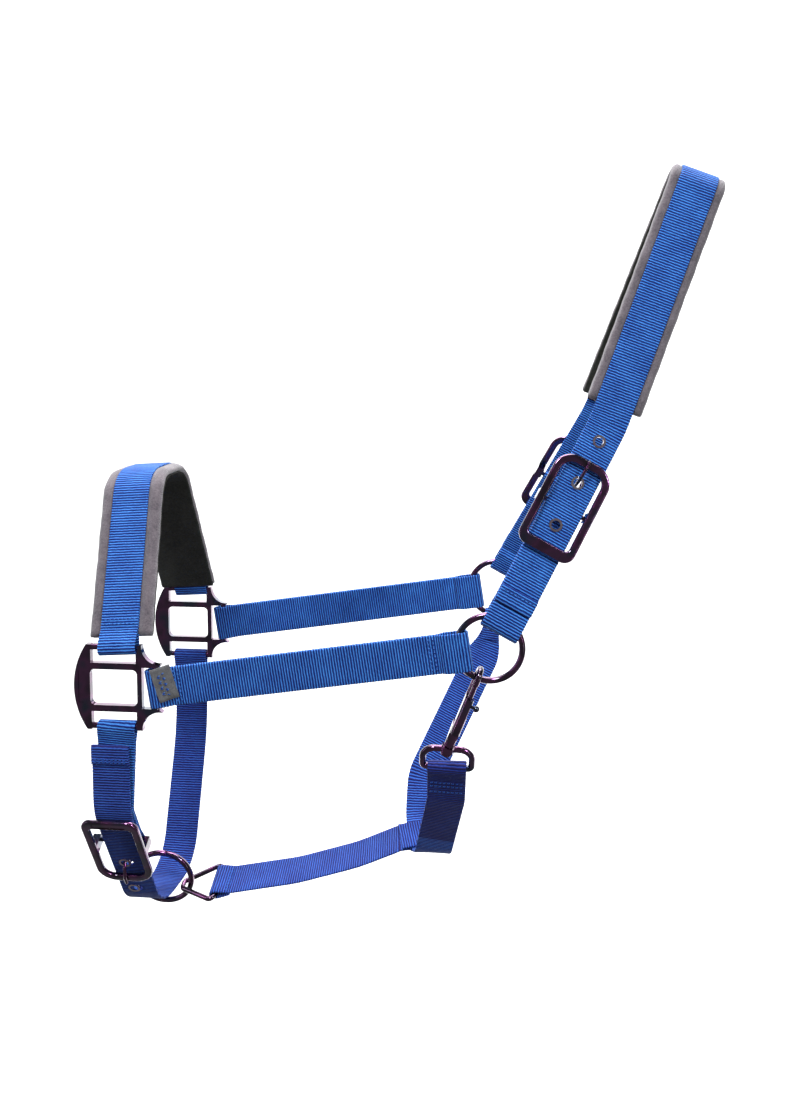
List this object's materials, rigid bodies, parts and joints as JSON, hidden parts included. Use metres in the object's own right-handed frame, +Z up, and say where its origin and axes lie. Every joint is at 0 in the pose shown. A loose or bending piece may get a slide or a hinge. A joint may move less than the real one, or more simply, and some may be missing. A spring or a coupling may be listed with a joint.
{
  "type": "head halter",
  "caption": "Horse head halter of ribbed webbing with padded crown and noseband, buckled crown and chin straps, cast side squares, rings and a bolt snap at the throat.",
  "frame": {"origin": "top of the crown strap at its middle, where it lies over the poll", "axes": "-X towards the nose, +Y towards the far (off) side, +Z up"},
  "size_m": [0.4208, 0.1541, 0.5321],
  "materials": {
    "webbing": "woven ribbed webbing",
    "felt": "soft felt",
    "lining": "dark soft lining",
    "label": "satin woven tag, blank",
    "hardware": "dark plum iridescent plating",
    "spring_steel": "bare spring wire"
  },
  "bodies": {
    "crown": {"crown_strap": "webbing", "crown_pad": "felt", "crown_pad_lining": "lining", "near_crown_eyelets": "hardware", "far_crown_eyelets": "hardware", "near_crown_billet": "webbing", "far_crown_billet": "webbing"},
    "face": {"near_cheek_strap": "webbing", "far_cheek_strap": "webbing", "near_side_square": "hardware", "far_side_square": "hardware", "noseband_strap": "webbing", "noseband_pad": "felt", "noseband_pad_lining": "lining", "cheek_label": "label", "near_chin_billet": "webbing", "chin_strap": "webbing", "chin_eyelets": "hardware", "throat_strap": "webbing", "snap_eye": "hardware"},
    "near_throat_ring": {"near_throat_ring": "hardware"},
    "far_throat_ring": {"far_throat_ring": "hardware"},
    "near_crown_buckle": {"near_crown_buckle_frame": "hardware"},
    "near_crown_tongue": {"near_crown_buckle_tongue": "hardware"},
    "far_crown_buckle": {"far_crown_buckle_frame": "hardware"},
    "far_crown_tongue": {"far_crown_buckle_tongue": "hardware"},
    "chin_buckle": {"chin_buckle_frame": "hardware"},
    "chin_tongue": {"chin_buckle_tongue": "hardware"},
    "chin_ring": {"chin_ring": "hardware"},
    "jowl_strap": {"jowl_strap": "webbing"},
    "triangle_ring": {"jowl_triangle_ring": "hardware"},
    "snap": {"snap_body": "hardware", "snap_spring": "spring_steel"},
    "snap_bolt": {"snap_bolt": "hardware"}
  },
  "joints": [
    {"name": "face_swing", "type": "hinge", "parent": "crown", "child": "face", "pos_m": [-0.135, 0, -0.301], "axis": [0, 1, 0], "range_deg": [-18, 22]},
    {"name": "near_throat_ring_spin", "type": "hinge", "parent": "crown", "child": "near_throat_ring", "pos_m": [-0.135, -0.07, -0.301], "axis": [0, 1, 0], "continuous": true},
    {"name": "far_throat_ring_spin", "type": "hinge", "parent": "crown", "child": "far_throat_ring", "pos_m": [-0.135, 0.07, -0.301], "axis": [0, 1, 0], "continuous": true},
    {"name": "near_crown_buckle_rock", "type": "hinge", "parent": "crown", "child": "near_crown_buckle", "pos_m": [-0.08904, -0.04891, -0.216], "axis": [0.8797, 0, -0.4756], "range_deg": [-1.5, 1]},
    {"name": "near_crown_tongue_lift", "type": "hinge", "parent": "near_crown_buckle", "child": "near_crown_tongue", "pos_m": [-0.08904, -0.04891, -0.216], "axis": [0.8797, 0, -0.4756], "range_deg": [0, 3]},
    {"name": "far_crown_buckle_rock", "type": "hinge", "parent": "crown", "child": "far_crown_buckle", "pos_m": [-0.08904, 0.04891, -0.216], "axis": [-0.8797, 0, 0.4756], "range_deg": [-1.5, 1]},
    {"name": "far_crown_tongue_lift", "type": "hinge", "parent": "far_crown_buckle", "child": "far_crown_tongue", "pos_m": [-0.08904, 0.04891, -0.216], "axis": [-0.8797, 0, 0.4756], "range_deg": [0, 3]},
    {"name": "chin_buckle_rock", "type": "hinge", "parent": "face", "child": "chin_buckle", "pos_m": [-0.38217, -0.05152, -0.44611], "axis": [-1, 0, 0], "range_deg": [-1.5, 1]},
    {"name": "chin_tongue_lift", "type": "hinge", "parent": "chin_buckle", "child": "chin_tongue", "pos_m": [-0.38217, -0.05152, -0.44611], "axis": [-1, 0, 0], "range_deg": [0, 3]},
    {"name": "chin_ring_spin", "type": "hinge", "parent": "face", "child": "chin_ring", "pos_m": [-0.37617, 0.006, -0.50437], "axis": [0, 0.9781, 0.2079], "continuous": true},
    {"name": "jowl_strap_sway", "type": "hinge", "parent": "face", "child": "jowl_strap", "pos_m": [-0.18305, 0.011, -0.46632], "axis": [-0.2598, 0.9446, 0.2007], "range_deg": [-0.3, 0.3]},
    {"name": "triangle_ring_tilt", "type": "hinge", "parent": "jowl_strap", "child": "triangle_ring", "pos_m": [-0.33572, 0.00718, -0.50703], "axis": [-0.038, 0.962, 0.2705], "range_deg": [-1, 1]},
    {"name": "snap_swivel", "type": "hinge", "parent": "face", "child": "snap", "pos_m": [-0.16062, -0.06513, -0.36653], "axis": [-0.3648, 0.0973, -0.926], "range_deg": [-8, 8]},
    {"name": "snap_bolt_draw", "type": "slide", "parent": "snap", "child": "snap_bolt", "axis": [-0.3648, 0.0973, -0.926], "range_m": [0, 0.0065], "stiffness_N_per_m": 120, "springref_m": -0.004, "deforming": ["snap_spring"]}
  ]
}
